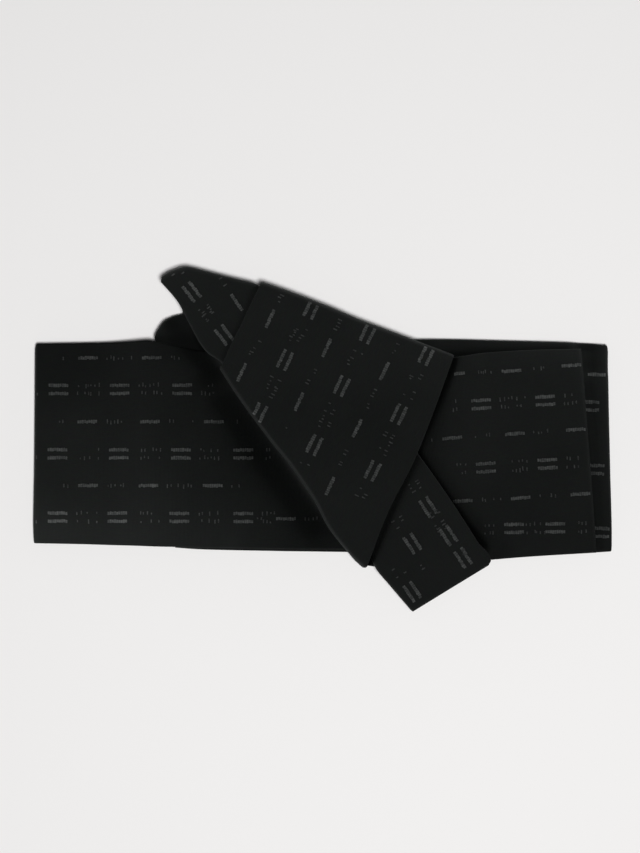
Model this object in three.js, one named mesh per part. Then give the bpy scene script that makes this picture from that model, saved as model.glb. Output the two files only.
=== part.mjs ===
// Obi belt: a woven waist sash tied in a flat knot at the front and laid down flat.
// Millimetres, +Z up. +X runs along the flattened loop, +Y towards its upper long edge.
// The cloth lies on its back layer, and the origin is under the middle of the bounding box.
import * as THREE from 'three';
import { mergeVertices } from 'three/addons/utils/BufferGeometryUtils.js';

const CLOTH_THICKNESS = 1.4;
const WAIST_HOLLOW = 6.0;
const HALF_FOLD_GAP = 1.1;
const SECTION_SPACING = 15;
const CELLS_ACROSS = 8;
const TURN_STEPS = 6;
const TURN_REACH = 0.8;

const BACK = CLOTH_THICKNESS / 2;
const FRONT = BACK + CLOTH_THICKNESS + WAIST_HOLLOW;

// Each piece is a chain of panels, and each panel is a table of straight sections across the cloth.
// Columns: x and y of edge a, x and y of edge b, height at edge a, at the middle and at edge b,
// and, where the line is bowed, how far its middle stands to the left of the way from a to b.
// Where one panel ends and the next begins on the same line, the cloth turns over in a rounded fold.
const WAIST_PANELS = {
  frontLeft: [
    [72.3, 61.7, 21.2, -79.9, 12.9, 12.9, 11.8],
    [-44.5, 63.1, -44.5, -79.2, 14.6, 13.2, 11.2],
    [-97.1, 65.3, -97.1, -78.5, 15.2, 14.4, 11.7],
    [-124.8, 70.4, -119.0, -78.1, 15.0, 13.6, 10.9],
    [-159.1, 69.7, -151.8, -77.0, FRONT + 0.3, FRONT, FRONT],
    [-209.5, 68.3, -209.5, -75.6, FRONT, FRONT, FRONT],
  ],
  back: [
    [-209.5, 67.5, -209.5, -74.8, BACK, BACK, BACK],
    [209.0, 64.6, 209.0, -80.0, BACK, BACK, BACK],
  ],
  frontRight: [
    [207.3, 66.1, 210.2, -81.8, FRONT, FRONT, FRONT],
    [129.2, 70.4, 129.2, -83.6, FRONT, FRONT, FRONT],
    [-124.8, 69.0, -109.5, -79.2, FRONT, FRONT, FRONT],
  ],
};

const COVER_PANELS = {
  under: [
    [72.3, 62.4, 16.1, -78.5, 11.1, 11.1, 10.0],
    [94.9, 61.0, -44.5, 113.5, 10.7, 11.2, 11.6],
  ],
  tongue: [
    [94.9, 61.0, -44.5, 113.5, 15.7, 20.8, 22.0],
    [65.0, -15.0, -59.1, 82.1, 21.2, 24.0, 23.8],
    [29.9, -93.1, -73.7, 52.2, 20.0, 23.6, 25.0],
  ],
  frontRight: [
    [29.9, -93.1, -73.7, 52.2, 13.8, 15.6, 17.6],
    [48.9, -93.8, 5.1, 55.8, 12.8, 15.2, 15.9],
    [67.2, -93.4, 85.4, 58.0, 11.8, 14.0, 15.2],
    [107.3, -90.9, 121.9, 61.7, 10.7, 10.8, 11.0],
    [198.6, -82.9, 187.2, 65.0, 10.4, 10.4, 10.4],
  ],
};

const HAND_PANELS = {
  rise: [
    [-121.9, 75.6, -111.7, 27.4, 10.95, 10.95, 10.95],
    [-118.3, 84.3, -86.1, 33.2, 11.3, 11.3, 11.3],
    [-102.9, 92.3, -64.2, 56.6, 11.8, 11.8, 11.8],
    [-116.4, 117.5, -50.4, 112.1, 12.6, 12.6, 12.6, 7.0],
  ],
  hand: [
    [-116.4, 117.5, -50.4, 112.1, 17.8, 17.8, 17.8, 7.0],
    [-98.5, 88.0, -31.4, 94.5, 19.2, 19.0, 18.4],
    [-53.3, 37.6, 8.8, 67.5, 21.0, 19.9, 18.8],
    [-0.7, -26.6, 45.3, 20.1, 18.9, 18.6, 18.1],
    [27.0, -67.5, 78.1, -23.7, 17.4, 17.2, 16.9],
    [38.3, -93.8, 101.5, -58.0, 16.6, 16.0, 15.4],
    [65.0, -125.2, 121.9, -91.6, 12.8, 13.2, 14.0],
  ],
};

const BLACK_SILK = { color: 0x17191a, roughness: 0.75, metalness: 0 };

function mix(from, to, share) {
  return from + (to - from) * share;
}

// Reads a table row into an edge-to-edge line with a curved height across it.
function readSection([ax, ay, bx, by, heightA, heightMiddle, heightB, bow = 0]) {
  return {
    a: new THREE.Vector2(ax, ay),
    b: new THREE.Vector2(bx, by),
    heights: [heightA, heightMiddle, heightB],
    bow,
  };
}

// The parabola through the heights at edge a, the middle and edge b.
function heightAcross([heightA, heightMiddle, heightB], share) {
  const nearA = heightA * (1 - share) * (1 - 2 * share);
  const nearMiddle = heightMiddle * 4 * share * (1 - share);
  const nearB = heightB * share * (2 * share - 1);
  return nearA + nearMiddle + nearB;
}

function middleOf(section) {
  return section.a.clone().add(section.b).multiplyScalar(0.5);
}

// Unit vector square to a fold line, pointing out of the panel that ends there.
function outwardFrom(fold, neighbour) {
  const along = fold.b.clone().sub(fold.a).normalize();
  const outward = new THREE.Vector2(along.y, -along.x);
  const inside = middleOf(neighbour).sub(middleOf(fold));
  return outward.dot(inside) > 0 ? outward.negate() : outward;
}

// Half the height between the layers on both sides of a fold, at a share of its length.
function turnRadius(lower, upper, share) {
  return Math.abs(heightAcross(upper.heights, share) - heightAcross(lower.heights, share)) / 2;
}

function pointAcross(section, share) {
  const along = section.b.clone().sub(section.a).normalize();
  const left = new THREE.Vector2(-along.y, along.x);
  const bulge = 4 * share * (1 - share) * section.bow;
  return section.a.clone().lerp(section.b, share).addScaledVector(left, bulge);
}

// A flat cross-section of the cloth: one layer from edge a to edge b.
function singleProfile() {
  const profile = [];
  for (let cell = 0; cell <= CELLS_ACROSS; cell += 1) {
    profile.push({ share: cell / CELLS_ACROSS, layer: 0, push: 0 });
  }
  return profile;
}

// A cross-section folded in half lengthwise: the outer layer runs from edge b to the fold at edge a,
// goes round it, and the inner layer runs back to edge b.
function halvedProfile() {
  const profile = [];
  for (let cell = CELLS_ACROSS; cell >= 0; cell -= 1) {
    profile.push({ share: cell / CELLS_ACROSS, layer: 1, push: 0 });
  }
  for (let step = 1; step < TURN_STEPS; step += 1) {
    const angle = (Math.PI * step) / TURN_STEPS;
    profile.push({ share: 0, layer: Math.cos(angle), push: Math.sin(angle) });
  }
  for (let cell = 0; cell <= CELLS_ACROSS; cell += 1) {
    profile.push({ share: cell / CELLS_ACROSS, layer: -1, push: 0 });
  }
  return profile;
}

// One row of middle-surface points of a panel. side is -1 under a fold and 1 above it.
function panelRow(section, profile, side) {
  const awayFromB = section.a.clone().sub(section.b).normalize();
  const inset = awayFromB.clone().multiplyScalar(-(HALF_FOLD_GAP + CLOTH_THICKNESS / 2));
  const halved = profile.some((place) => place.layer !== 0);
  return profile.map((place) => {
    const point = pointAcross(section, place.share);
    if (halved) {
      point.addScaledVector(inset, 1 - place.share);
      point.addScaledVector(awayFromB, place.push * HALF_FOLD_GAP);
    }
    const height = heightAcross(section.heights, place.share) + side * place.layer * HALF_FOLD_GAP;
    return new THREE.Vector3(point.x, point.y, height);
  });
}

// The sections of a panel with its ends drawn in by what the folds there take up.
function insetSections(panel, before, after) {
  const sections = panel.map(readSection);
  const last = sections.length - 1;
  const ends = [
    { index: 0, neighbour: sections[1], partner: before && readSection(before.at(-1)) },
    { index: last, neighbour: sections[last - 1], partner: after && readSection(after[0]) },
  ];
  const drawnIn = sections.map((section) => ({ ...section, a: section.a.clone(), b: section.b.clone() }));
  for (const { index, neighbour, partner } of ends) {
    if (!partner) continue;
    const fold = sections[index];
    const outward = outwardFrom(fold, neighbour);
    for (const [edge, share] of [['a', 0], ['b', 1]]) {
      const reach = turnRadius(fold, partner, share) * TURN_REACH + CLOTH_THICKNESS / 2;
      drawnIn[index][edge].addScaledVector(outward, -reach);
    }
    drawnIn[index].outward = outward;
  }
  return drawnIn;
}

// Rows that carry the cloth round a fold, from the end of one panel to the start of the next.
function turnRows(from, to, profile, side) {
  const rows = [];
  const start = panelRow(from, profile, side);
  const end = panelRow(to, profile, -side);
  for (let step = 1; step < TURN_STEPS; step += 1) {
    const angle = (Math.PI * step) / TURN_STEPS;
    rows.push(profile.map((place, index) => {
      const share = (1 - Math.cos(angle)) / 2;
      const point = start[index].clone().lerp(end[index], share);
      const radius = Math.abs(end[index].z - start[index].z) / 2;
      const reach = radius * TURN_REACH * Math.sin(angle);
      point.x += from.outward.x * reach;
      point.y += from.outward.y * reach;
      return point;
    }));
  }
  return rows;
}

function blendSections(from, to, share) {
  return {
    a: from.a.clone().lerp(to.a, share),
    b: from.b.clone().lerp(to.b, share),
    heights: from.heights.map((height, index) => mix(height, to.heights[index], share)),
    bow: mix(from.bow, to.bow, share),
  };
}

// All the rows of middle-surface points of a piece, from its first panel to its last.
function chainRows(panels, profile) {
  const tables = Object.values(panels);
  const chain = tables.map((panel, index) => insetSections(panel, tables[index - 1], tables[index + 1]));
  const rows = [];
  chain.forEach((sections, panelIndex) => {
    const side = panelIndex % 2 === 0 ? -1 : 1;
    sections.slice(1).forEach((section, index) => {
      const previous = sections[index];
      const length = middleOf(section).distanceTo(middleOf(previous));
      const steps = Math.max(1, Math.round(length / SECTION_SPACING));
      for (let step = 0; step < steps; step += 1) {
        rows.push(panelRow(blendSections(previous, section, step / steps), profile, side));
      }
    });
    rows.push(panelRow(sections.at(-1), profile, side));
    const next = chain[panelIndex + 1];
    if (next) rows.push(...turnRows(sections.at(-1), next[0], profile, side));
  });
  return rows;
}

// The direction square to the cloth at one point of its grid of rows.
function clothNormal(rows, row, column) {
  const lastRow = rows.length - 1;
  const lastColumn = rows[0].length - 1;
  const forward = rows[Math.min(row + 1, lastRow)][column].clone();
  const along = forward.sub(rows[Math.max(row - 1, 0)][column]);
  const right = rows[row][Math.min(column + 1, lastColumn)].clone();
  const across = right.sub(rows[row][Math.max(column - 1, 0)]);
  return along.cross(across).normalize();
}

// Thickens a grid of middle-surface points into one closed body.
function clothGeometry(rows) {
  const rowCount = rows.length;
  const columnCount = rows[0].length;
  const positions = [];
  for (const side of [1, -1]) {
    rows.forEach((row, rowIndex) => {
      row.forEach((point, columnIndex) => {
        const offset = clothNormal(rows, rowIndex, columnIndex).multiplyScalar((side * CLOTH_THICKNESS) / 2);
        positions.push(...point.clone().add(offset).toArray());
      });
    });
  }
  const vertex = (layer, row, column) => (layer * rowCount + row) * columnCount + column;
  const indices = [];
  const quad = (first, second, third, fourth) => {
    indices.push(first, second, third, first, third, fourth);
  };
  for (let row = 0; row + 1 < rowCount; row += 1) {
    for (let column = 0; column + 1 < columnCount; column += 1) {
      quad(vertex(0, row, column), vertex(0, row + 1, column),
        vertex(0, row + 1, column + 1), vertex(0, row, column + 1));
      quad(vertex(1, row, column), vertex(1, row, column + 1),
        vertex(1, row + 1, column + 1), vertex(1, row + 1, column));
    }
    const last = columnCount - 1;
    quad(vertex(1, row, 0), vertex(1, row + 1, 0), vertex(0, row + 1, 0), vertex(0, row, 0));
    quad(vertex(0, row, last), vertex(0, row + 1, last), vertex(1, row + 1, last), vertex(1, row, last));
  }
  for (let column = 0; column + 1 < columnCount; column += 1) {
    const end = rowCount - 1;
    quad(vertex(0, 0, column), vertex(0, 0, column + 1), vertex(1, 0, column + 1), vertex(1, 0, column));
    quad(vertex(1, end, column), vertex(1, end, column + 1),
      vertex(0, end, column + 1), vertex(0, end, column));
  }
  const geometry = new THREE.BufferGeometry();
  geometry.setAttribute('position', new THREE.Float32BufferAttribute(positions, 3));
  geometry.setIndex(indices);
  return mergeVertices(geometry, 1e-3);
}

function clothPiece(name, panels, profile) {
  const geometry = clothGeometry(chainRows(panels, profile));
  geometry.computeVertexNormals();
  const mesh = new THREE.Mesh(geometry, new THREE.MeshStandardMaterial(BLACK_SILK));
  mesh.name = name;
  return mesh;
}

const group = new THREE.Group();
group.add(clothPiece('waist_band', WAIST_PANELS, singleProfile()));
group.add(clothPiece('knot_cover', COVER_PANELS, singleProfile()));
group.add(clothPiece('hand_end', HAND_PANELS, halvedProfile()));

// The tables measure from the middle of the waist loop. The origin goes under the middle of the whole.
const box = new THREE.Box3().setFromObject(group);
const middle = box.getCenter(new THREE.Vector3());
for (const piece of group.children) piece.position.set(-middle.x, -middle.y, -box.min.z);

export default group;
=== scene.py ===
"""An obi belt: a woven waist sash tied in a flat knot and laid down flat, seen from straight above."""
import math

import bpy
import numpy as np
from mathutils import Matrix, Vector
from mathutils.bvhtree import BVHTree


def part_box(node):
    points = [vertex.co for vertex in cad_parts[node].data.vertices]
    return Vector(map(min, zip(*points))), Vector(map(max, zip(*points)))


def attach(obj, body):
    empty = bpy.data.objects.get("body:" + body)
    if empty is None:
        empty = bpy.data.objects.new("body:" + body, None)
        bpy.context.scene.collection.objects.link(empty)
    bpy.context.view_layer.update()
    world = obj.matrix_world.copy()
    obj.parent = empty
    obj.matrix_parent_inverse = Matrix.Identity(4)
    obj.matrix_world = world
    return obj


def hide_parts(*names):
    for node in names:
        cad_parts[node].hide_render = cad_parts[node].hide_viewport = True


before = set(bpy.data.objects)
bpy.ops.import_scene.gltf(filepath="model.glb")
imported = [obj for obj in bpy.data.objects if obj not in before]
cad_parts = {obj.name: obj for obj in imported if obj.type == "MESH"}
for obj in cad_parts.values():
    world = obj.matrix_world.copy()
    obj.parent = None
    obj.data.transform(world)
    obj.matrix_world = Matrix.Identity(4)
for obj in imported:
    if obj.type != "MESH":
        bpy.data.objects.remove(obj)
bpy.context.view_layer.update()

# Sizes are in millimetres up to the meshes, which are in metres.
MM = 0.001
CLOTH_THICKNESS = 1.4
BAND_WIDTH = 150.0

# Heights of the loop's layer on the floor and of its front layers, where they lie flat.
BACK = 0.85
FRONT = 8.1

# The hand end is folded in half lengthwise, and each of its two layers lies this far from their middle.
HALF_FOLD_GAP = 1.1

# The grid of the cloth: spacing along and across it, steps in a turn, and columns close to a woven edge.
ROW_SPACING = 2.6
COLUMN_SPACING = 2.8
FEWEST_COLUMNS = 8
TURN_STEPS = 12
RIM_PLACES = (0.0, 0.25, 0.6, 1.2)

# Woven edges thin out over the rim's width, and cut ends over twice that. A square rim wouldn't thin at all.
RIM_WIDTH = 0.7
RIM_SQUARENESS = 0.2

# A fold's shape fades into its panel over this length, and its reach is less at a rounded corner.
FOLD_FADE = 30.0
CORNER_LOSS = 0.9

# A dip fades out over this length past either end of its line.
DIP_END_FADE = 12.0

# Slow waves of the cloth: their heights, and the distance for each radian. Cloth by the floor has none.
LONG_WAVE_HEIGHT = 0.30
LONG_WAVE_REACH = (31.0, 47.0)
SLANTED_WAVE_HEIGHT = 0.20
SLANTED_WAVE_REACH = 23.0
SHORT_WAVE_HEIGHT = 0.10
SHORT_WAVE_REACH = 11.0
WAVES_FROM = 2.0
WAVES_RISE = 5.0

# The tables measure from the middle of the waist loop, and the frame from the middle of the whole.
LOOP_TOP = 70.4
FRAME_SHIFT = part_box("waist_band")[1].y / MM - LOOP_TOP

# The woven pattern repeats along and across the band.
DASH_PITCH = 45.3
DASH_ROW_SPACING = 23.3
DASH_PAIR_GAP = 5.8

# A dash is a line of stitches. The widths here are shares of the dash's width, and the length is a share of
# the distance from one stitch to the next.
DASH_LENGTH = 14.5
DASH_WIDTH = 2.8
STITCHES_PER_DASH = 9
STITCH_LENGTH = 0.86
END_STITCH_WIDTH = 0.78
NARROWEST_STITCH = 0.74

# Small faint stitches halfway between two dashes. Some are missing, and each is a little out of line.
TICK_PLACES = (-8.5, -5.8, -3.2, -0.6, 2.0, 4.8, 7.6)
TICK_LENGTH = 0.9
TICK_WIDTHS = (1.2, 3.2)
TICKS_MISSING = 0.33
TICK_SHIFT = 0.6
TICK_LEAN = 0.7

# A stitch stands this far out of the cloth and reaches this far into it.
THREAD_HEIGHT = 0.14
THREAD_ROOT = 0.05

# A stitch is left out where the upright part of the cloth's normal is less than this, or where its corners
# differ more than this in height. The cloth is found by rays that start at this height above and below.
LEAST_UPRIGHT = 0.4
TALLEST_STITCH = 1.0
RAY_START = 60.0
SEED = 11

# The pattern of an underside is laid out over this many rows and columns each way, as far as these sides.
LATTICE_COUNT = 6
LATTICE_SIDES = (215.0, 130.0)

# The camera looks straight down. At the view's level its field is this high, with its middle this far from
# the loop's middle, and the camera is the camera height above that level.
VIEW_LEVEL = 16.2
VIEW_HEIGHT = 616.5
VIEW_MIDDLE = (-2.2, 9.1)
CAMERA_HEIGHT = 2000.0
SENSOR_SIDE = 36.0

# Light: the brightness of the ceiling, and the power of each lamp in watts.
CEILING = 0.07
LEFT_POWER = 1.65
RIGHT_POWER = 1.5
TIP_POWER = 0.26
FRONT_POWER = 0.68
FLOOR_POWER = 67.0

# Each table has a row for each straight line across the cloth, from edge a to edge b.
# Columns: x and y at edge a, x and y at edge b, height at edge a, at the middle and at edge b.
FRONT_LEFT = [
    (72.3, 61.7, 21.2, -79.9, 12.9, 12.9, 11.8),
    (5.1, 62.4, -16.8, -79.8, 13.8, 13.0, 13.6),
    (-44.5, 63.1, -44.5, -79.2, 14.8, 14.2, 14.0),
    (-86.1, 63.9, -84.0, -78.8, 15.2, 16.4, 12.8),
    (-100.7, 66.1, -97.1, -78.5, 15.2, 16.2, 12.2),
    (-116.8, 69.6, -108.8, -78.2, 15.1, 15.2, 11.6),
    (-126.0, 71.4, -121.0, -78.0, 14.5, 13.8, 10.7),
    (-140.9, 70.5, -136.0, -77.5, 11.9, 10.9, 9.5),
    (-158.0, 69.9, -153.3, -77.1, 8.9, 8.6, 8.3),
    (-176.0, 69.6, -173.0, -76.5, FRONT, FRONT, FRONT),
    (-209.3, 69.2, -210.4, -75.8, FRONT, FRONT, FRONT),
]
BACK_LAYER = [
    (-209.3, 68.2, -210.4, -75.0, BACK, BACK, BACK),
    (206.9, 66.0, 210.1, -80.0, BACK, BACK, BACK),
]
FRONT_RIGHT = [
    (206.8, 68.2, 210.3, -81.8, FRONT, FRONT, FRONT),
    (190.0, 69.4, 192.0, -82.8, FRONT, FRONT, FRONT),
    (129.2, 71.3, 129.2, -83.4, FRONT, FRONT, FRONT),
    (85.0, 72.2, 85.0, -83.0, FRONT, FRONT, FRONT),
    (19.0, 71.0, 19.0, -82.0, FRONT, FRONT, FRONT),
    (-87.0, 68.0, -86.9, -80.2, FRONT, FRONT, FRONT),
    (-124.8, 67.5, -107.3, -78.9, FRONT, FRONT, FRONT),
]
COVER_UNDER = [
    (72.3, 62.4, 16.1, -78.5, 11.1, 11.1, 10.0),
    (94.9, 61.0, -44.5, 113.5, 10.7, 11.2, 11.6),
]
COVER_TONGUE = [
    (94.9, 61.0, -44.5, 113.5, 15.9, 20.8, 21.9),
    (78.8, 17.0, -53.3, 95.0, 19.6, 22.8, 21.6),
    (66.4, -14.0, -59.1, 82.5, 21.2, 24.0, 22.3),
    (45.8, -55.0, -67.0, 66.5, 20.9, 24.2, 23.2),
    (29.9, -93.1, -73.7, 52.2, 20.0, 23.6, 24.2),
]
COVER_RIGHT = [
    (29.9, -93.1, -73.7, 52.2, 13.8, 15.6, 17.6),
    (48.9, -93.3, 5.1, 55.8, 13.2, 15.2, 15.9),
    (67.2, -91.6, 85.4, 58.2, 12.8, 14.2, 15.2),
    (107.3, -88.8, 118.0, 62.6, 12.2, 12.8, 12.6),
    (150.0, -85.4, 152.0, 64.6, 11.2, 11.6, 11.4),
    (198.6, -82.5, 187.2, 65.5, 10.4, 10.4, 10.4),
]
HAND_RISE = [
    (-122.0, 74.4, -111.7, 27.4, 11.4, 11.0, 10.95),
    (-119.0, 80.0, -100.0, 30.0, 12.0, 11.2, 11.1),
    (-115.3, 85.2, -86.1, 33.2, 12.2, 11.4, 11.3),
    (-109.2, 88.8, -75.0, 45.0, 11.5, 11.5, 11.5),
    (-101.5, 91.5, -64.2, 56.6, 11.8, 11.8, 11.8),
    (-104.8, 101.0, -57.0, 85.0, 12.2, 12.2, 12.2),
    (-116.8, 116.4, -53.0, 107.5, 12.6, 12.6, 12.6),
]
HAND_STRIP = [
    (-116.8, 116.4, -40.5, 105.5, 17.8, 17.8, 17.6),
    (-107.3, 102.2, -38.0, 101.0, 18.4, 18.4, 18.0),
    (-103.9, 97.6, -36.2, 99.4, 18.6, 18.5, 18.1),
    (-97.1, 84.2, -30.0, 93.5, 19.3, 19.0, 18.4),
    (-84.2, 63.0, -12.0, 81.0, 20.4, 19.5, 18.6),
    (-74.2, 56.0, -3.5, 75.5, 20.7, 19.7, 18.65),
    (-66.8, 47.2, 2.0, 72.0, 20.9, 19.8, 18.7),
    (-53.3, 37.0, 8.8, 67.5, 21.0, 19.9, 18.8),
    (-0.7, -26.6, 45.3, 20.1, 18.9, 18.6, 18.1),
    (27.0, -67.5, 78.1, -23.7, 17.4, 17.2, 16.9),
    (38.3, -93.8, 101.5, -58.0, 16.6, 16.0, 15.4),
    (47.4, -104.8, 111.7, -74.1, 15.4, 15.1, 14.9),
    (63.6, -124.0, 121.5, -88.8, 11.6, 12.0, 13.1),
    (64.6, -125.2, 119.7, -91.4, 11.4, 11.9, 12.9),
]

# How far a fold stands out past its straight line, at shares of the way from edge a to edge b.
TIP_SHAPE = [
    (0.0, 0.4), (0.04, 3.6), (0.09, 5.9), (0.15, 8.2), (0.22, 9.8), (0.29, 9.6),
    (0.42, 8.6), (0.60, 7.1), (0.80, 5.7), (0.92, 4.9), (1.0, 0.8),
]
TONGUE_SIDE_SHAPE = [
    (0.0, 0.0), (0.1, 3.2), (0.2, 4.2), (0.36, 0.8), (0.5, 0.3), (0.64, 1.8), (0.86, 2.5), (1.0, 1.6),
]
TONGUE_TOP_SHAPE = [(0.0, 0.0), (0.2, -0.5), (0.48, -0.8), (0.65, 0.3), (0.88, 0.7), (1.0, 0.3)]
LOOP_LEFT_SHAPE = [(0.0, 0.0), (0.62, 0.0), (0.8, 0.5), (0.92, 1.3), (1.0, 1.7)]
LOOP_RIGHT_SHAPE = [(0.0, 0.9), (0.1, 0.2), (0.3, 0.0), (0.62, 0.0), (0.8, 0.4), (0.92, 1.0), (1.0, 1.4)]

# Each piece is a chain of panels. A fold turns the cloth over between one panel and the next. Turn reach is
# how far a fold reaches out, as a share of half its height. Degrees are the way of each panel's weave.
PIECES = {
    "waist_band": {
        "panels": [FRONT_LEFT, BACK_LAYER, FRONT_RIGHT],
        "folds": [LOOP_LEFT_SHAPE, LOOP_RIGHT_SHAPE],
        "degrees": [0.0, 0.0, -2.3],
        "halved": False,
        "corner_rounding": 3.0,
        "turn_reach": 0.6,
        "flat_length": 0.99,
        "rests_on": ["floor"],
    },
    "knot_cover": {
        "panels": [COVER_UNDER, COVER_TONGUE, COVER_RIGHT],
        "folds": [TONGUE_TOP_SHAPE, TONGUE_SIDE_SHAPE],
        "degrees": [-70.0, 64.2, 3.6],
        "halved": False,
        "corner_rounding": 1.5,
        "turn_reach": 0.6,
        "flat_length": 0.43,
        "rests_on": ["waist_band_cloth"],
    },
    "hand_end": {
        "panels": [HAND_RISE, HAND_STRIP],
        "folds": [TIP_SHAPE],
        "degrees": [40.0, -55.0],
        "halved": True,
        "corner_rounding": 0.0,
        "turn_reach": 0.9,
        "flat_length": 0.32,
        "rests_on": ["waist_band_cloth"],
    },
}

# Where a layer lies pressed down beside the edge of a layer above it, or droops at its own edge.
# Columns: piece, panel, x and y at the start of the dip's line, x and y at its end, depth at the start and
# at the end, how far the slope runs out, how far the dip holds on the other side, and where it has faded.
# The slope runs out to the left of the way from start to end.
DIPS = [
    ("waist_band", 0, (0.0, -55.0), (-62.0, 34.0), 4.0, 3.8, 17.0, 0.0, 6.0),
    ("waist_band", 0, (-76.0, 54.0), (-98.0, 86.0), 2.6, 2.0, 13.0, 0.0, 6.0),
    ("waist_band", 0, (-214.0, -88.0), (-75.0, -91.0), 6.4, 2.6, 26.0, 5.0, 9.0),
    ("waist_band", 2, (0.0, -55.0), (-62.0, 34.0), 3.0, 1.6, 17.0, 1.0, 9.0),
    ("waist_band", 2, (-76.0, 54.0), (-98.0, 86.0), 3.4, 3.2, 20.0, 6.0, 18.0),
    ("waist_band", 2, (-130.0, -91.0), (-45.0, -91.0), 3.0, 2.4, 26.0, 5.0, 9.0),
    ("waist_band", 2, (85.0, 58.0), (192.0, 64.0), 2.2, 1.8, 3.0, 12.0, 24.0),
    ("waist_band", 2, (196.0, 80.0), (92.0, 84.0), 4.0, 3.0, 14.0, 5.0, 9.0),
    ("waist_band", 2, (187.2, 68.0), (198.6, -84.0), 2.0, 0.8, 10.0, 2.0, 8.0),
    ("waist_band", 2, (78.0, 10.0), (92.0, -45.0), 2.8, 2.2, 22.0, 26.0, 46.0),
    ("waist_band", 2, (85.0, -95.0), (214.0, -94.0), 5.2, 5.4, 28.0, 5.0, 9.0),
    ("knot_cover", 2, (94.9, 61.0), (29.9, -93.1), 4.8, 2.6, 3.4, 7.0, 12.0),
    ("knot_cover", 2, (66.0, -13.0), (121.9, -91.6), 2.8, 2.4, 3.0, 12.0, 18.0),
    ("knot_cover", 2, (84.0, -102.0), (198.6, -96.5), 6.2, 6.0, 28.0, 5.0, 9.0),
    ("knot_cover", 2, (192.0, 76.0), (120.0, 72.0), 3.0, 1.5, 16.0, 5.0, 9.0),
    ("hand_end", 0, (-76.0, 54.0), (-110.0, 104.0), 3.2, 5.6, 15.0, 0.0, 8.0),
    ("hand_end", 1, (94.9, 61.0), (29.9, -93.1), 1.9, 2.0, 4.2, 5.0, 10.0),
]

# The woven dashes that show. Columns: piece, panel, the way the row runs in degrees, lines in each
# dash, and the middles of the row's dashes.
DASH_ROWS = [
    ("waist_band", 0, 0.0, 1, [(-170.5, 58.9), (-123.9, 58.9)]),
    ("waist_band", 0, 0.0, 2, [(-191.9, 36.0), (-147.4, 36.0), (-101.8, 36.0)]),
    ("waist_band", 0, 0.0, 1, [(-171.0, 12.6), (-125.2, 12.6), (-78.9, 12.6)]),
    ("waist_band", 0, 0.0, 2, [(-192.7, -10.6), (-148.1, -10.6), (-102.7, -10.6), (-57.7, -10.8)]),
    ("waist_band", 0, 0.0, 1, [(-170.5, -33.7), (-126.4, -33.7), (-79.8, -33.7)]),
    ("waist_band", 0, 0.0, 2, [(-192.7, -56.7), (-149.3, -56.7), (-104.0, -56.7), (-57.7, -56.7)]),
    ("waist_band", 0, 0.0, 1, [(-26.8, -57.8)]),
    ("waist_band", 2, -2.3, 1, [(199.5, 46.8)]),
    ("waist_band", 2, -2.3, 2, [(193.2, 24.0), (196.9, -22.1), (200.8, -67.8)]),
    ("knot_cover", 1, 64.2, 1, [(-38.2, 86.8), (-58.6, 48.1)]),
    ("knot_cover", 1, 64.2, 2, [(-8.2, 94.0), (-27.4, 57.0), (-46.1, 18.5)]),
    ("knot_cover", 1, 64.2, 1, [(2.6, 65.8), (-17.3, 26.9)]),
    ("knot_cover", 1, 64.2, 2, [(32.3, 76.2), (13.4, 38.2), (-6.3, -4.2)]),
    ("knot_cover", 1, 64.2, 1, [(44.2, 49.0), (24.6, 7.8), (5.0, -33.7)]),
    ("knot_cover", 1, 64.2, 2, [(74.6, 60.6), (54.7, 17.9), (35.7, -22.9)]),
    ("knot_cover", 2, 4.0, 1, [(95.5, 47.1), (136.5, 49.3), (180.0, 53.4)]),
    ("knot_cover", 2, 3.3, 2, [(114.5, 25.2), (161.0, 27.8)]),
    ("knot_cover", 2, 3.8, 1, [(93.5, 0.8), (138.9, 3.9), (183.1, 6.8)]),
    ("knot_cover", 2, 3.1, 2, [(117.9, -20.6), (162.6, -18.0)]),
    ("knot_cover", 2, 3.4, 1, [(101.1, -44.8), (143.1, -42.6), (186.5, -39.8)]),
    ("knot_cover", 2, 1.0, 2, [(138.4, -64.7), (168.4, -64.4)]),
    ("hand_end", 1, -53.0, 2, [(-94.7, 106.3), (-71.2, 75.1)]),
    ("hand_end", 1, -57.0, 1, [(-62.3, 98.6)]),
    ("hand_end", 1, -57.0, 2, [(75.9, -49.0), (90.6, -69.6), (101.3, -85.8)]),
    ("hand_end", 1, -57.0, 2, [(64.6, -75.4), (64.6, -110.4)]),
]

# The same pattern, where it is seen only from below: piece, one dash's middle and the way of its rows.
UNDERSIDES = [
    ("waist_band", (22.0, -4.0), 0.0),
    ("hand_end", (40.0, -60.0), -57.0),
]


def dipped(points, piece, panel):
    """Lowers the points of a panel's row where the table of dips says so."""
    for owner, number, start, end, depth_start, depth_end, slope, hold, faded in DIPS:
        if (owner, number) != (piece, panel):
            continue
        start, end = np.array(start), np.array(end)
        length = np.linalg.norm(end - start)
        way = (end - start) / length
        away = points[:, 0:2] - start
        along = away @ way
        out = away @ np.array([-way[1], way[0]])
        beyond = np.maximum(np.maximum(-along, along - length), 0.0)
        under = np.clip((-out - hold) / (faded - hold), 0.0, 1.0)
        share = np.where(out > 0, np.exp(-(out / slope) ** 2), 1 - under ** 2 * (3 - 2 * under))
        depth = depth_start + (depth_end - depth_start) * np.clip(along / length, 0.0, 1.0)
        points[:, 2] -= depth * share * np.exp(-(beyond / DIP_END_FADE) ** 2)
    return points


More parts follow.
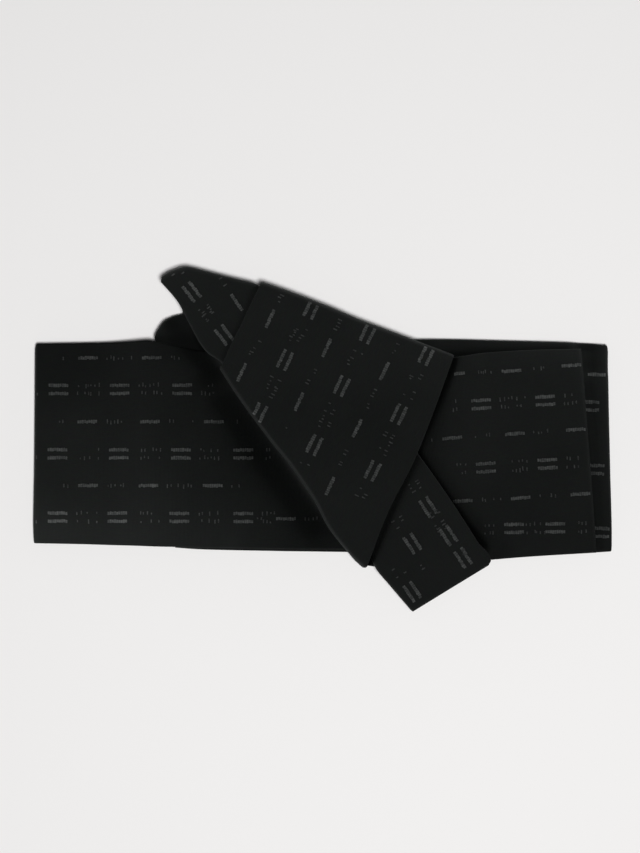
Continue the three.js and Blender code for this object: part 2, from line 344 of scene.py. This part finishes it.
def smooth_table(stations, values, wanted):
    """Monotone cubic curves through the columns of a table, so that no layer swings into the next."""
    gaps = np.diff(stations)[:, None]
    slopes = np.diff(values, axis=0) / gaps
    tangents = np.empty_like(values)
    tangents[0] = slopes[0]
    tangents[-1] = slopes[-1]
    if len(stations) > 2:
        before, after = slopes[:-1], slopes[1:]
        weight_before = 2 * gaps[1:] + gaps[:-1]
        weight_after = gaps[1:] + 2 * gaps[:-1]
        same_way = before * after > 0
        safe_before = np.where(same_way, before, 1.0)
        safe_after = np.where(same_way, after, 1.0)
        weighted = weight_before / safe_before + weight_after / safe_after
        harmonic = (weight_before + weight_after) / weighted
        tangents[1:-1] = np.where(same_way, harmonic, 0.0)
    cell = np.clip(np.searchsorted(stations, wanted, side="right") - 1, 0, len(stations) - 2)
    width = gaps[cell]
    share = ((wanted - stations[cell]) / gaps[cell, 0])[:, None]
    start, end = values[cell], values[cell + 1]
    return (
        start * (1 + 2 * share) * (1 - share) ** 2
        + tangents[cell] * width * share * (1 - share) ** 2
        + end * share ** 2 * (3 - 2 * share)
        + tangents[cell + 1] * width * share ** 2 * (share - 1)
    )


def fold_bulge(shape, shares):
    """How far a fold stands out at each share of its length."""
    points = np.array(shape, dtype=float)
    return smooth_table(points[:, 0], points[:, 1:], np.asarray(shares, dtype=float))[:, 0]


def across_heights(heights, shares):
    """The parabola through the heights at edge a, the middle and edge b."""
    near_a = (1 - shares) * (1 - 2 * shares)
    near_middle = 4 * shares * (1 - shares)
    near_b = shares * (2 * shares - 1)
    return heights[0] * near_a + heights[1] * near_middle + heights[2] * near_b


def relief(points):
    """Slow waves that all the layers share, so that the cloth isn't dead flat and its layers stay apart."""
    x, y, z = points[:, 0], points[:, 1], points[:, 2]
    reach_x, reach_y = LONG_WAVE_REACH
    wave = LONG_WAVE_HEIGHT * np.sin(x / reach_x + 0.6) * np.cos(y / reach_y - 0.4)
    wave += SLANTED_WAVE_HEIGHT * np.sin((x + 1.7 * y) / SLANTED_WAVE_REACH + 1.1)
    wave += SHORT_WAVE_HEIGHT * np.sin((1.3 * x - y) / SHORT_WAVE_REACH)
    loose = np.clip((z - WAVES_FROM) / WAVES_RISE, 0.0, 1.0)
    return wave * loose


def line_direction(row):
    """Unit vector from edge a to edge b of a table row."""
    along = row[2:4] - row[0:2]
    return along / np.linalg.norm(along)


def outward_from(fold_row, neighbour_row):
    """Unit vector square to a fold line, pointing out of the panel that ends there."""
    along = line_direction(fold_row)
    outward = np.array([along[1], -along[0]])
    inside = (neighbour_row[0:2] + neighbour_row[2:4] - fold_row[0:2] - fold_row[2:4]) / 2
    return -outward if outward @ inside > 0 else outward


def across_profile(width, halved):
    """Places across the cloth: share of the width, layer (1 outer, -1 inner) and push round the edge."""
    cells = max(FEWEST_COLUMNS, int(round(width / COLUMN_SPACING)))
    rim = np.array(RIM_PLACES) / width
    inner = np.linspace(rim[-1], 1 - rim[-1], cells)
    shares = np.concatenate([rim[:-1], inner, 1 - rim[:-1][::-1]])
    if not halved:
        return [(share, 0.0, 0.0) for share in shares]
    one_sided = np.concatenate([np.linspace(0.0, 1 - rim[-1], cells), 1 - rim[:-1][::-1]])
    outer = [(share, 1.0, 0.0) for share in one_sided[::-1]]
    angles = [math.pi * step / TURN_STEPS for step in range(1, TURN_STEPS)]
    bend = [(0.0, math.cos(angle), math.sin(angle)) for angle in angles]
    inner_layer = [(share, -1.0, 0.0) for share in one_sided]
    return outer + bend + inner_layer


def row_points(row, profile, side, halved, bulge, outward):
    """One row of middle-surface points. side is -1 on the way to a fold from below and 1 above it."""
    shares = np.array([place[0] for place in profile])
    layers = np.array([place[1] for place in profile])
    pushes = np.array([place[2] for place in profile])
    flat = row[0:2] + (row[2:4] - row[0:2]) * shares[:, None]
    if halved:
        along = line_direction(row)
        flat = flat + along * ((HALF_FOLD_GAP + CLOTH_THICKNESS / 2) * (1 - shares))[:, None]
        flat = flat - along * (pushes * HALF_FOLD_GAP)[:, None]
    flat = flat + outward * bulge[:, None]
    heights = across_heights(row[4:7], shares) + side * layers * HALF_FOLD_GAP
    return np.column_stack([flat, heights])


def drawn_in(row, partner, outward, turn_reach):
    """A fold's row, moved into its panel by what the rounded fold takes up."""
    moved = row.copy()
    for edge, height in ((0, 4), (2, 6)):
        reach = abs(partner[height] - row[height]) / 2 * turn_reach + CLOTH_THICKNESS / 2
        moved[edge:edge + 2] -= outward * reach
    return moved


def panel_rows(name, number, profile):
    """The rows of one panel, with its ends drawn in for the folds there, and the way out at each end."""
    piece = PIECES[name]
    panels, folds, turn_reach = piece["panels"], piece["folds"], piece["turn_reach"]
    side = -1 if number % 2 == 0 else 1
    rows = np.array(panels[number], dtype=float)
    shares = np.array([place[0] for place in profile])
    ways = [outward_from(rows[0], rows[1]), outward_from(rows[-1], rows[-2])]
    first_bulge = np.zeros(len(shares))
    last_bulge = np.zeros(len(shares))
    if number > 0:
        rows[0] = drawn_in(rows[0], panels[number - 1][-1], ways[0], turn_reach)
        first_bulge = fold_bulge(folds[number - 1], shares)
    if number + 1 < len(panels):
        rows[-1] = drawn_in(rows[-1], panels[number + 1][0], ways[1], turn_reach)
        last_bulge = fold_bulge(folds[number], shares)
    middles = (rows[:, 0:2] + rows[:, 2:4]) / 2
    stations = np.concatenate([[0.0], np.cumsum(np.linalg.norm(np.diff(middles, axis=0), axis=1))])
    count = max(2, int(math.ceil(stations[-1] / ROW_SPACING)))
    wanted = np.linspace(0.0, stations[-1], count + 1)
    sampled = smooth_table(stations, rows, wanted)
    fade = min(FOLD_FADE, stations[-1] / 2)
    result = []
    for place, row in zip(wanted, sampled):
        first_share = max(0.0, 1 - place / fade)
        last_share = max(0.0, 1 - (stations[-1] - place) / fade)
        bulge = first_bulge * first_share + last_bulge * last_share
        way = ways[0] if first_share > 0 else ways[1]
        points = row_points(row, profile, side, piece["halved"], bulge, way)
        result.append(dipped(points, name, number))
    return result, ways


def fold_rows(start, end, outward, profile, width, piece):
    """Rows that carry the cloth round a fold, from the end of one panel to the start of the next."""
    shares = np.array([place[0] for place in profile])
    corner = np.ones(len(shares))
    if piece["corner_rounding"] > 0:
        from_edge = np.minimum(shares, 1 - shares) * width
        near = np.clip(1 - from_edge / piece["corner_rounding"], 0.0, 1.0)
        corner = np.sqrt(1 - near ** 2 * CORNER_LOSS)
    radius = np.abs(end[:, 2] - start[:, 2]) / 2
    rows = []
    for step in range(1, TURN_STEPS):
        angle = math.pi * step / TURN_STEPS
        share = (1 - math.cos(angle)) / 2
        row = start + (end - start) * share
        reach = radius * piece["turn_reach"] * math.sin(angle) * corner
        row[:, 0:2] += outward * reach[:, None]
        rows.append(row)
    return rows


def grain_coordinates(grid, spans, ways, degrees):
    """Flat coordinates in metres along and across each panel's weave, and each strip of faces' panel."""
    maps = []
    owners = np.zeros(len(grid) - 1, dtype=int)
    for number, (first, last) in enumerate(spans):
        low = 0 if number == 0 else (spans[number - 1][1] + first) // 2
        high = len(grid) - 1 if number == len(spans) - 1 else (last + spans[number + 1][0]) // 2
        owners[low:high] = number
        flat = grid[..., 0:2].copy()
        for row in range(last + 1, high + 1):
            travel = np.linalg.norm(grid[row] - grid[row - 1], axis=1)
            flat[row] = flat[row - 1] + ways[number][1] * travel[:, None]
        for row in range(first - 1, low - 1, -1):
            travel = np.linalg.norm(grid[row] - grid[row + 1], axis=1)
            flat[row] = flat[row + 1] + ways[number][0] * travel[:, None]
        angle = math.radians(degrees[number])
        turn = np.array([[math.cos(angle), -math.sin(angle)], [math.sin(angle), math.cos(angle)]])
        maps.append(flat @ turn * MM)
    return maps, owners


def chain(name):
    """A piece's rows of middle-surface points, the first and last row of each panel, and the grain."""
    piece = PIECES[name]
    width = BAND_WIDTH / 2 if piece["halved"] else BAND_WIDTH
    profile = across_profile(width, piece["halved"])
    built = [panel_rows(name, number, profile) for number in range(len(piece["panels"]))]
    rows, spans = [], []
    for number, (own_rows, ways) in enumerate(built):
        spans.append((len(rows), len(rows) + len(own_rows) - 1))
        rows.extend(own_rows)
        if number + 1 < len(built):
            next_rows = built[number + 1][0]
            rows.extend(fold_rows(own_rows[-1], next_rows[0], ways[1], profile, width, piece))
    grid = np.array(rows)
    flat = grid.reshape(-1, 3)
    flat[:, 2] += relief(flat)
    grain = grain_coordinates(grid, spans, [ways for _, ways in built], piece["degrees"])
    return grid, spans, grain


def grid_normals(grid):
    """Unit vectors square to the cloth at each point of the grid."""
    along = np.gradient(grid, axis=0)
    across = np.gradient(grid, axis=1)
    normals = np.cross(along, across)
    return normals / np.linalg.norm(normals, axis=2, keepdims=True)


def rim_thickness(grid):
    """Half the cloth's thickness at each point, thinner at the woven edges, so that they are round."""
    steps = np.linalg.norm(np.diff(grid, axis=1), axis=2)
    from_first = np.concatenate([np.zeros((grid.shape[0], 1)), np.cumsum(steps, axis=1)], axis=1)
    from_last = from_first[:, -1:] - from_first
    edge = np.minimum(from_first, from_last)
    lengthwise = np.linalg.norm(np.diff(grid, axis=0), axis=2)
    from_start = np.concatenate([np.zeros((1, grid.shape[1])), np.cumsum(lengthwise, axis=0)], axis=0)
    edge = np.minimum(edge, np.minimum(from_start, from_start[-1:] - from_start) * 0.5)
    share = np.clip(edge / RIM_WIDTH, 0.0, 1.0)
    rounding = 1 - (1 - share) ** 2
    return CLOTH_THICKNESS / 2 * np.sqrt(RIM_SQUARENESS + (1 - RIM_SQUARENESS) * rounding)


def to_metres(points):
    """Table millimetres to the frame's metres."""
    moved = np.array(points, dtype=float)
    moved[..., 1] += FRAME_SHIFT
    return moved * MM


def cloth_mesh(name, grid, grain):
    """A closed thick mesh round a grid of middle-surface points."""
    offsets = grid_normals(grid) * rim_thickness(grid)[..., None]
    layers = [to_metres(grid + offsets), to_metres(grid - offsets)]
    row_count, column_count = grid.shape[:2]
    index = np.arange(2 * row_count * column_count).reshape(2, row_count, column_count)
    top, bottom = index

    def quads(first, second, third, fourth):
        return np.stack([first, second, third, fourth], axis=-1).reshape(-1, 4)

    faces = np.concatenate([
        quads(top[:-1, :-1], top[1:, :-1], top[1:, 1:], top[:-1, 1:]),
        quads(bottom[:-1, :-1], bottom[:-1, 1:], bottom[1:, 1:], bottom[1:, :-1]),
        quads(bottom[:-1, 0], bottom[1:, 0], top[1:, 0], top[:-1, 0]),
        quads(top[:-1, -1], top[1:, -1], bottom[1:, -1], bottom[:-1, -1]),
        quads(top[0, :-1], top[0, 1:], bottom[0, 1:], bottom[0, :-1]),
        quads(bottom[-1, :-1], bottom[-1, 1:], top[-1, 1:], top[-1, :-1]),
    ])
    mesh = bpy.data.meshes.new(name)
    vertices = np.concatenate([layer.reshape(-1, 3) for layer in layers])
    mesh.from_pydata(vertices.tolist(), [], faces.tolist())
    mesh.update()
    add_grain_map(mesh, faces, grid.shape, grain)
    mesh.shade_smooth()
    return mesh


def add_grain_map(mesh, faces, shape, grain):
    """UV map in metres that follows each panel's weave: along it and across it."""
    maps, owners = grain
    row_count, column_count = shape[:2]
    place = faces % (row_count * column_count)
    rows, columns = place // column_count, place % column_count
    owner = owners[np.minimum(rows.min(axis=1), row_count - 2)]
    coordinates = np.array(maps)[owner[:, None], rows, columns]
    layer = mesh.uv_layers.new(name="grain")
    layer.data.foreach_set("uv", coordinates.ravel())


def new_material(name):
    """A node material with its Principled shader."""
    material = bpy.data.materials.new(name)
    material.use_nodes = True
    return material, material.node_tree.nodes, material.node_tree.links


def make_cloth_material():
    """Near-black ribbed weave: fine ribs and threads as bump, soft mottling, and a little sheen."""
    material, nodes, links = new_material("black_weave")
    shader = nodes["Principled BSDF"]
    shader.inputs["Sheen Weight"].default_value = 0.03
    shader.inputs["Sheen Roughness"].default_value = 0.45
    shader.inputs["Sheen Tint"].default_value = (0.75, 0.85, 0.82, 1.0)
    shader.inputs["Specular IOR Level"].default_value = 0.12
    grain = nodes.new("ShaderNodeUVMap")
    grain.uv_map = "grain"
    place = nodes.new("ShaderNodeTexCoord")

    mottle = nodes.new("ShaderNodeTexNoise")
    mottle.inputs["Scale"].default_value = 14.0
    mottle.inputs["Detail"].default_value = 4.0
    links.new(place.outputs["Object"], mottle.inputs["Vector"])
    tone = nodes.new("ShaderNodeValToRGB")
    tone.color_ramp.elements[0].position = 0.32
    tone.color_ramp.elements[0].color = (0.0052, 0.0064, 0.0058, 1.0)
    tone.color_ramp.elements[1].position = 0.70
    tone.color_ramp.elements[1].color = (0.0082, 0.0094, 0.0088, 1.0)
    links.new(mottle.outputs["Fac"], tone.inputs["Fac"])

    stretch = nodes.new("ShaderNodeMapping")
    stretch.inputs["Scale"].default_value = (180.0, 2600.0, 1.0)
    links.new(grain.outputs["UV"], stretch.inputs["Vector"])
    threads = nodes.new("ShaderNodeTexNoise")
    threads.inputs["Scale"].default_value = 1.0
    threads.inputs["Detail"].default_value = 3.0
    links.new(stretch.outputs["Vector"], threads.inputs["Vector"])
    thread_tone = nodes.new("ShaderNodeMix")
    thread_tone.data_type = "RGBA"
    thread_tone.blend_type = "OVERLAY"
    thread_tone.inputs["Factor"].default_value = 0.55
    links.new(tone.outputs["Color"], thread_tone.inputs["A"])
    links.new(threads.outputs["Color"], thread_tone.inputs["B"])
    links.new(thread_tone.outputs["Result"], shader.inputs["Base Color"])

    ribs = nodes.new("ShaderNodeTexWave")
    ribs.wave_type = "BANDS"
    ribs.bands_direction = "X"
    ribs.inputs["Scale"].default_value = 330.0
    ribs.inputs["Distortion"].default_value = 0.6
    ribs.inputs["Detail"].default_value = 1.0
    links.new(grain.outputs["UV"], ribs.inputs["Vector"])
    relief_sum = nodes.new("ShaderNodeMath")
    relief_sum.operation = "MULTIPLY_ADD"
    relief_sum.inputs[1].default_value = 0.8
    links.new(ribs.outputs["Fac"], relief_sum.inputs[0])
    links.new(threads.outputs["Fac"], relief_sum.inputs[2])
    bump = nodes.new("ShaderNodeBump")
    bump.inputs["Strength"].default_value = 0.5
    bump.inputs["Distance"].default_value = 0.00012
    links.new(relief_sum.outputs["Value"], bump.inputs["Height"])
    links.new(bump.outputs["Normal"], shader.inputs["Normal"])

    gloss = nodes.new("ShaderNodeMapRange")
    gloss.inputs["To Min"].default_value = 0.62
    gloss.inputs["To Max"].default_value = 0.80
    links.new(mottle.outputs["Fac"], gloss.inputs["Value"])
    links.new(gloss.outputs["Result"], shader.inputs["Roughness"])
    return material


def make_thread_material(name, dark, bright):
    """Grey brocade threads whose tone varies from stitch to stitch."""
    material, nodes, links = new_material(name)
    shader = nodes["Principled BSDF"]
    shader.inputs["Specular IOR Level"].default_value = 0.35
    shader.inputs["Sheen Weight"].default_value = 0.15
    place = nodes.new("ShaderNodeTexCoord")
    patches = nodes.new("ShaderNodeTexNoise")
    patches.inputs["Scale"].default_value = 420.0
    patches.inputs["Detail"].default_value = 2.0
    links.new(place.outputs["Object"], patches.inputs["Vector"])
    tone = nodes.new("ShaderNodeValToRGB")
    tone.color_ramp.elements[0].position = 0.35
    tone.color_ramp.elements[0].color = (*dark, 1.0)
    tone.color_ramp.elements[1].position = 0.65
    tone.color_ramp.elements[1].color = (*bright, 1.0)
    links.new(patches.outputs["Fac"], tone.inputs["Fac"])
    links.new(tone.outputs["Color"], shader.inputs["Base Color"])
    gloss = nodes.new("ShaderNodeMapRange")
    gloss.inputs["To Min"].default_value = 0.45
    gloss.inputs["To Max"].default_value = 0.65
    links.new(patches.outputs["Fac"], gloss.inputs["Value"])
    links.new(gloss.outputs["Result"], shader.inputs["Roughness"])
    return material


def face_tree(points, upward):
    """A ray-cast tree of one side of a grid of middle-surface points, in table millimetres."""
    normals = grid_normals(points)
    wanted = 1 if upward else -1
    turned = np.where(normals[..., 2:3] * wanted < 0, -normals, normals)
    lifted = points + turned * (CLOTH_THICKNESS / 2)
    rows, columns = points.shape[:2]
    index = np.arange(rows * columns).reshape(rows, columns)
    faces = np.stack([index[:-1, :-1], index[1:, :-1], index[1:, 1:], index[:-1, 1:]], axis=-1)
    vertices = [Vector(point) for point in lifted.reshape(-1, 3).tolist()]
    return BVHTree.FromPolygons(vertices, faces.reshape(-1, 4).tolist())


def dash_blocks(random):
    """The stitches of one line of a dash, as (middle along, middle across, length, width)."""
    pitch = DASH_LENGTH / STITCHES_PER_DASH
    blocks = []
    for number in range(STITCHES_PER_DASH):
        middle = (number + 0.5) * pitch - DASH_LENGTH / 2
        at_end = number in (0, STITCHES_PER_DASH - 1)
        share = END_STITCH_WIDTH if at_end else float(random.uniform(NARROWEST_STITCH, 1.0))
        width = DASH_WIDTH * share
        lean = float(random.uniform(-0.5, 0.5)) * (DASH_WIDTH - width)
        blocks.append((middle, lean, pitch * STITCH_LENGTH, width))
    return blocks


def tick_blocks(random):
    """The small faint stitches halfway between two dashes."""
    blocks = []
    for place in TICK_PLACES:
        if random.random() < TICKS_MISSING:
            continue
        along = place + float(random.uniform(-TICK_SHIFT, TICK_SHIFT))
        lean = float(random.uniform(-TICK_LEAN, TICK_LEAN))
        width = float(random.uniform(*TICK_WIDTHS))
        blocks.append((along, lean, TICK_LENGTH, width))
    return blocks


def directions(degrees):
    """Unit vectors along a row of dashes and across it."""
    way = np.array([math.cos(math.radians(degrees)), math.sin(math.radians(degrees))])
    return way, np.array([-way[1], way[0]])


def dash_stitches(middle, degrees, lines, random):
    """The bright stitches of a dash and the faint ones before and after it."""
    way, across = directions(degrees)
    offsets = (-DASH_PAIR_GAP / 2, DASH_PAIR_GAP / 2) if lines == 2 else (0.0,)
    bright, faint = [], []
    for offset in offsets:
        base = np.array(middle) + across * offset
        bright += [(base, block, way, across) for block in dash_blocks(random)]
        for side in (-1, 1):
            between = base + way * (side * DASH_PITCH / 2)
            faint += [(between, block, way, across) for block in tick_blocks(random) if block[0] * side < 0]
    return bright, faint


def lattice_stitches(middle, degrees, random):
    """The bright and faint stitches of the whole pattern, laid out from one dash's middle."""
    way, across = directions(degrees)
    bright, faint = [], []
    for line in range(-LATTICE_COUNT, LATTICE_COUNT + 1):
        for column in range(-LATTICE_COUNT, LATTICE_COUNT + 1):
            along = column * DASH_PITCH + (line % 2) * DASH_PITCH / 2
            place = np.array(middle) + way * along + across * (line * DASH_ROW_SPACING)
            if abs(place[0]) > LATTICE_SIDES[0] or abs(place[1]) > LATTICE_SIDES[1]:
                continue
            own_bright, own_faint = dash_stitches(place, degrees, 2 - line % 2, random)
            bright += own_bright
            faint += own_faint
    return bright, faint


def stitch_corners(base, block, way, across):
    """The four corners of a stitch in the plane."""
    along_middle, across_middle, length, width = block
    centre = base + way * along_middle + across * across_middle
    half_long, half_wide = way * (length / 2), across * (width / 2)
    return [
        centre - half_long - half_wide,
        centre + half_long - half_wide,
        centre + half_long + half_wide,
        centre - half_long + half_wide,
    ]


def lay_stitches(stitches, tree, upward, vertices, faces):
    """Adds each stitch that lies wholly on the cloth, as a low block on its surface."""
    side = 1 if upward else -1
    for base, block, way, across in stitches:
        corners = stitch_corners(base, block, way, across)
        found = []
        for corner in corners[::side]:
            ray_start = Vector((corner[0], corner[1], RAY_START * side))
            hit, normal, _, _ = tree.ray_cast(ray_start, Vector((0, 0, -side)))
            if hit is None or abs(normal.z) < LEAST_UPRIGHT:
                break
            found.append(hit)
        heights = [hit.z for hit in found]
        if len(found) < 4 or max(heights) - min(heights) > TALLEST_STITCH:
            continue
        start = len(vertices)
        vertices += [(hit.x, hit.y, hit.z + THREAD_HEIGHT * side) for hit in found]
        vertices += [(hit.x, hit.y, hit.z - THREAD_ROOT * side) for hit in found]
        faces.append((start, start + 1, start + 2, start + 3))
        for corner in range(4):
            following = (corner + 1) % 4
            faces.append((start + 4 + corner, start + 4 + following, start + following, start + corner))


def add_object(name, mesh, materials):
    """Puts a mesh in the scene as a piece that rides on the body."""
    piece = bpy.data.objects.new(name, mesh)
    bpy.context.scene.collection.objects.link(piece)
    for material in materials:
        mesh.materials.append(material)
    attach(piece, "root")
    return piece


def build_brocade(name, grid, spans, bright_material, faint_material):
    """The grey woven dashes of a piece, as one mesh with two materials."""
    random = np.random.default_rng(SEED)
    vertices, faces, kinds = [], [], []
    reach = TURN_STEPS // 2
    trees = [face_tree(grid[max(0, first - reach):last + 1 + reach], True) for first, last in spans]
    jobs = []
    for owner, panel, degrees, lines, middles in DASH_ROWS:
        if owner != name:
            continue
        for middle in middles:
            jobs.append((dash_stitches(middle, degrees, lines, random), trees[panel], True))
    for owner, middle, degrees in UNDERSIDES:
        if owner == name:
            jobs.append((lattice_stitches(middle, degrees, random), face_tree(grid, False), False))
    for groups, tree, upward in jobs:
        for kind, stitches in enumerate(groups):
            lay_stitches(stitches, tree, upward, vertices, faces)
            kinds += [kind] * (len(faces) - len(kinds))
    mesh = bpy.data.meshes.new(name + "_brocade")
    mesh.from_pydata(to_metres(vertices).tolist(), [], faces)
    mesh.update()
    brocade = add_object(name + "_brocade", mesh, [bright_material, faint_material])
    mesh.polygons.foreach_set("material_index", kinds)
    return brocade


def build_piece(name, cloth_material, bright_material, faint_material):
    """One piece of the sash: its cloth and its woven dashes, in place of the CAD solid."""
    grid, spans, grain = chain(name)
    mesh = cloth_mesh(name + "_cloth", grid, grain)
    cloth = add_object(name + "_cloth", mesh, [cloth_material])
    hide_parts(name)
    brocade = build_brocade(name, grid, spans, bright_material, faint_material)
    return [cloth, brocade]


def make_floor():
    """A plain pale floor under the sash."""
    side = 6.0
    mesh = bpy.data.meshes.new("floor")
    corners = [(-side, -side, 0.0), (side, -side, 0.0), (side, side, 0.0), (-side, side, 0.0)]
    mesh.from_pydata(corners, [], [(0, 1, 2, 3)])
    floor = bpy.data.objects.new("floor", mesh)
    bpy.context.scene.collection.objects.link(floor)
    material, nodes, _ = new_material("floor")
    shader = nodes["Principled BSDF"]
    shader.inputs["Base Color"].default_value = (0.812, 0.803, 0.797, 1.0)
    shader.inputs["Roughness"].default_value = 0.9
    shader.inputs["Specular IOR Level"].default_value = 0.1
    mesh.materials.append(material)
    return floor


def add_area_light(name, place, size, power, lit):
    """A square soft light aimed at the sash, which lights only the objects in lit."""
    data = bpy.data.lights.new(name, "AREA")
    data.shape = "SQUARE"
    data.size = size
    data.energy = power
    light = bpy.data.objects.new(name, data)
    light.location = place
    light.visible_camera = False
    light.rotation_euler = (-Vector(place)).to_track_quat("-Z", "Y").to_euler()
    bpy.context.scene.collection.objects.link(light)
    receivers = bpy.data.collections.new(name + "_receivers")
    for item in lit:
        receivers.objects.link(item)
    light.light_linking.receiver_collection = receivers


def make_world():
    """Pale studio walls round the sash and a dim ceiling over it."""
    world = bpy.data.worlds.new("studio")
    world.use_nodes = True
    nodes, links = world.node_tree.nodes, world.node_tree.links
    place = nodes.new("ShaderNodeTexCoord")
    split = nodes.new("ShaderNodeSeparateXYZ")
    links.new(place.outputs["Generated"], split.inputs["Vector"])
    ramp = nodes.new("ShaderNodeValToRGB")
    ramp.color_ramp.elements[0].position = 0.12
    ramp.color_ramp.elements[0].color = (0.74, 0.74, 0.74, 1.0)
    ramp.color_ramp.elements[1].position = 0.30
    ramp.color_ramp.elements[1].color = (CEILING, CEILING, CEILING, 1.0)
    links.new(split.outputs["Z"], ramp.inputs["Fac"])
    links.new(ramp.outputs["Color"], nodes["Background"].inputs["Color"])
    bpy.context.scene.world = world


def make_lights(sash, floor):
    """Soft boxes round the cloth, one of them for the knot alone, and an even light on the floor."""
    add_area_light("left_box", (-0.38, -0.29, 0.18), 0.18, LEFT_POWER, sash)
    add_area_light("right_box", (0.39, 0.31, 0.18), 0.18, RIGHT_POWER, sash)
    knot = [piece for piece in sash if not piece.name.startswith("waist_band")]
    add_area_light("tip_box", (-0.20, 0.26, 0.16), 0.12, TIP_POWER, knot)
    add_area_light("front_box", (0.16, -0.46, 0.15), 0.18, FRONT_POWER, sash)
    add_area_light("floor_light", (0.22, -0.34, 2.6), 0.5, FLOOR_POWER, [floor])


def make_camera():
    """The camera straight above, framed as the photograph is."""
    data = bpy.data.cameras.new("camera")
    data.sensor_width = SENSOR_SIDE
    data.lens = SENSOR_SIDE * CAMERA_HEIGHT / VIEW_HEIGHT
    data.clip_end = 30.0
    camera = bpy.data.objects.new("camera", data)
    place = np.array([VIEW_MIDDLE[0], VIEW_MIDDLE[1] + FRAME_SHIFT, CAMERA_HEIGHT + VIEW_LEVEL]) * MM
    camera.location = place.tolist()
    bpy.context.scene.collection.objects.link(camera)
    bpy.context.scene.camera = camera


make_camera()
bpy.context.scene.view_settings.view_transform = "Standard"
cloth_material = make_cloth_material()
bright_material = make_thread_material("brocade_thread", (0.026, 0.029, 0.028), (0.066, 0.070, 0.068))
faint_material = make_thread_material("faint_thread", (0.012, 0.013, 0.013), (0.036, 0.039, 0.038))
sash = []
for piece_name in PIECES:
    sash += build_piece(piece_name, cloth_material, bright_material, faint_material)
floor = make_floor()
make_world()
make_lights(sash, floor)
